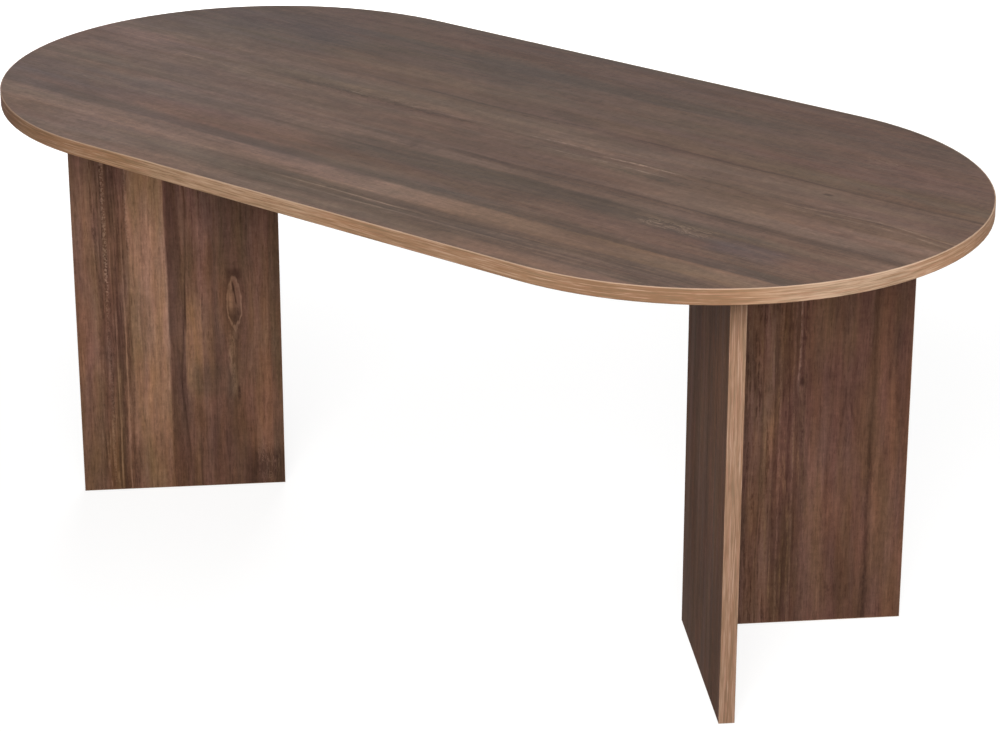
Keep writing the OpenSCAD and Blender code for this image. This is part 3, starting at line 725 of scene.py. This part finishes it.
def dress():
    """Gives every piece its material"""
    cover("table_top", top_walnut())
    cover("top_edge_band", oak_band("top_band", round_top=True, tint_and_painted_light=(0.99, 1.00, 1.01)))
    # The front left board's colour factor is partly painted light
    cover("front_left_leg_board",
          leg_walnut("front_left", LEFT, FRONT, seed=40.4, figure=front_left_figure,
                     tint_and_painted_light=(1.37, 1.41, 1.44), from_free_end=True))
    cover("rear_left_leg_board",
          leg_walnut("rear_left", LEFT, REAR, seed=80.4, figure=plain_figure))
    # The front right board's colour factor is partly painted shade, on the face turned from the key
    cover("front_right_leg_board",
          leg_walnut("front_right", RIGHT, FRONT, seed=120.4, figure=plain_figure,
                     tint_and_painted_light=(0.80, 0.73, 0.62)))
    cover("rear_right_leg_board",
          leg_walnut("rear_right", RIGHT, REAR, seed=160.4, figure=rear_right_figure,
                     tint_and_painted_light=(0.97, 0.955, 0.99)))
    # The upright bands' colour factor is partly painted shade
    upright = oak_band("upright_bands", upright=True, tint_and_painted_light=(0.84, 0.845, 0.91))
    level = oak_band("foot_bands")
    shared = {
        "free_edge_band": upright,
        "corner_edge_band": upright,
        "foot_edge_band": level,
        "bolts": metal("zinc_plated_steel", STEEL, rough=0.24, scale=150),
        "cams": metal("cast_zinc", ZINC, rough=0.38, scale=220),
        "cam_caps": plastic("brown_cap_plastic", CAP_BROWN, rough=0.5),
        "dowels": beech(),
        "glides": plastic("brown_nylon", NYLON_BROWN, rough=0.45),
    }
    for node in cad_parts:
        for ending, material in shared.items():
            if node.endswith(ending):
                cover(node, material)


# Floor
FLOOR_SIZE = 30.0
FLOOR_COLOUR = screen(150, 150, 150)
FLOOR_GLOW = 0.81       # added where the floor is seen straight or in a reflection
FLOOR_GLOW_FAR = 1.0    # far off, where the lamps add nothing
FLOOR_NEAR = 1.2
FLOOR_FAR = 4.0

# Sky, bright on the side of the lamps and dim on the other
LIGHT_SIDE = Vector((0.65, -0.70, 0.30)).normalized()
STUDIO_DIM = 0.03
STUDIO_BRIGHT = 0.20
WHITE = (1.0, 1.0, 1.0, 1.0)

# Lamps, in metres and watts
LAMP_AIM = Vector((0, 0, 0.5))
FILL_COLOUR = (1.0, 0.99, 0.98)
KEY_PLACE = Vector((1.97, -3.16, 2.45))
KEY_SIZE = 2.4
KEY_POWER = 165
KEY_COLOUR = (1.0, 0.98, 0.95)
SIDE_PLACE = Vector((3.05, 0.35, 1.6))
SIDE_SIZE = 1.6
SIDE_POWER = 40
REAR_PLACE = Vector((-2.50, 2.70, 1.10))
REAR_SIZE = 1.8
REAR_POWER = 90


def seen(tree):
    """1 for the rays that show the background: straight, in a reflection or through glass"""
    path = tree.nodes.new("ShaderNodeLightPath")
    total = path.outputs["Is Camera Ray"]
    for name in ("Is Glossy Ray", "Is Transmission Ray"):
        node = tree.nodes.new("ShaderNodeMath")
        node.operation = "MAXIMUM"
        tree.links.new(total, node.inputs[0])
        tree.links.new(path.outputs[name], node.inputs[1])
        total = node.outputs[0]
    return total


def floor():
    """A floor that shows nearly white, and that keeps a faint shadow of the table near it"""
    size = FLOOR_SIZE / 2
    mesh = bpy.data.meshes.new("floor")
    corners = [(-size, -size, 0), (size, -size, 0), (size, size, 0), (-size, size, 0)]
    mesh.from_pydata(corners, [], [(0, 1, 2, 3)])
    plane = bpy.data.objects.new("floor", mesh)
    bpy.context.scene.collection.objects.link(plane)
    s = Shader("pale_floor")
    diffuse = s.add("BsdfDiffuse")
    diffuse.inputs["Color"].default_value = FLOOR_COLOUR
    glow = s.add("Emission")
    distance = s.add("VectorMath", operation="LENGTH")
    s.feed(distance.inputs[0], s.place)
    level = s.step(distance.outputs["Value"], FLOOR_NEAR, FLOOR_FAR, FLOOR_GLOW, FLOOR_GLOW_FAR)
    s.feed(glow.inputs["Strength"], s.times(seen(s.tree), level))
    both = s.add("AddShader")
    s.tree.links.new(diffuse.outputs[0], both.inputs[0])
    s.tree.links.new(glow.outputs[0], both.inputs[1])
    s.tree.links.new(both.outputs[0], s.add("OutputMaterial").inputs[0])
    mesh.materials.append(s.material)


def sky():
    """Soft light all round, brighter from the front right, and a white background"""
    world = bpy.data.worlds.new("studio")
    bpy.context.scene.world = world
    world.use_nodes = True
    tree = world.node_tree
    tree.nodes.clear()
    place = tree.nodes.new("ShaderNodeTexCoord")
    facing = tree.nodes.new("ShaderNodeVectorMath")
    facing.operation = "DOT_PRODUCT"
    facing.inputs[1].default_value = LIGHT_SIDE
    tree.links.new(place.outputs["Generated"], facing.inputs[0])
    level = tree.nodes.new("ShaderNodeMapRange")
    level.inputs["From Min"].default_value = -1.0
    level.inputs["To Min"].default_value = STUDIO_DIM
    level.inputs["To Max"].default_value = STUDIO_BRIGHT
    tree.links.new(facing.outputs["Value"], level.inputs["Value"])
    soft = tree.nodes.new("ShaderNodeBackground")
    tree.links.new(level.outputs[0], soft.inputs["Strength"])
    white = tree.nodes.new("ShaderNodeBackground")
    for node in (soft, white):
        node.inputs["Color"].default_value = WHITE
    choose = tree.nodes.new("ShaderNodeMixShader")
    tree.links.new(seen(tree), choose.inputs[0])
    tree.links.new(soft.outputs[0], choose.inputs[1])
    tree.links.new(white.outputs[0], choose.inputs[2])
    output = tree.nodes.new("ShaderNodeOutputWorld")
    tree.links.new(choose.outputs[0], output.inputs[0])


def lamp(name, place, size, power, colour, mirrored=True):
    """A round soft lamp that looks at the middle of the table. mirrored says whether gloss shows it."""
    light = bpy.data.lights.new(name, "AREA")
    light.shape = "DISK"
    light.size = size
    light.energy = power
    light.color = colour
    item = bpy.data.objects.new(name, light)
    item.location = place
    item.visible_glossy = mirrored
    item.rotation_euler = (LAMP_AIM - place).to_track_quat("-Z", "Y").to_euler()
    bpy.context.scene.collection.objects.link(item)


# Camera, at the photograph's viewing angle, with its lens and sensor in millimetres
CAMERA_PLACE = Vector((3.1390, -3.8213, 2.3431))
CAMERA_HEADING = math.radians(128.895)      # from +X
CAMERA_PITCH = math.radians(-22.09)
CAMERA_LENS = 115.47
SENSOR = 36.0


def camera():
    """Puts the camera in its place"""
    view = bpy.data.cameras.new("camera")
    view.sensor_fit = "HORIZONTAL"
    view.sensor_width = SENSOR
    view.lens = CAMERA_LENS
    item = bpy.data.objects.new("camera", view)
    level = math.cos(CAMERA_PITCH)
    ahead = Vector((level * math.cos(CAMERA_HEADING),
                    level * math.sin(CAMERA_HEADING),
                    math.sin(CAMERA_PITCH)))
    item.location = CAMERA_PLACE
    item.rotation_euler = ahead.to_track_quat("-Z", "Y").to_euler()
    bpy.context.scene.collection.objects.link(item)
    bpy.context.scene.camera = item


camera()
dress()
floor()
sky()
lamp("key", KEY_PLACE, KEY_SIZE, KEY_POWER, KEY_COLOUR)
lamp("side", SIDE_PLACE, SIDE_SIZE, SIDE_POWER, FILL_COLOUR)
lamp("rear", REAR_PLACE, REAR_SIZE, REAR_POWER, FILL_COLOUR, mirrored=False)
bpy.context.scene.view_settings.view_transform = "Standard"
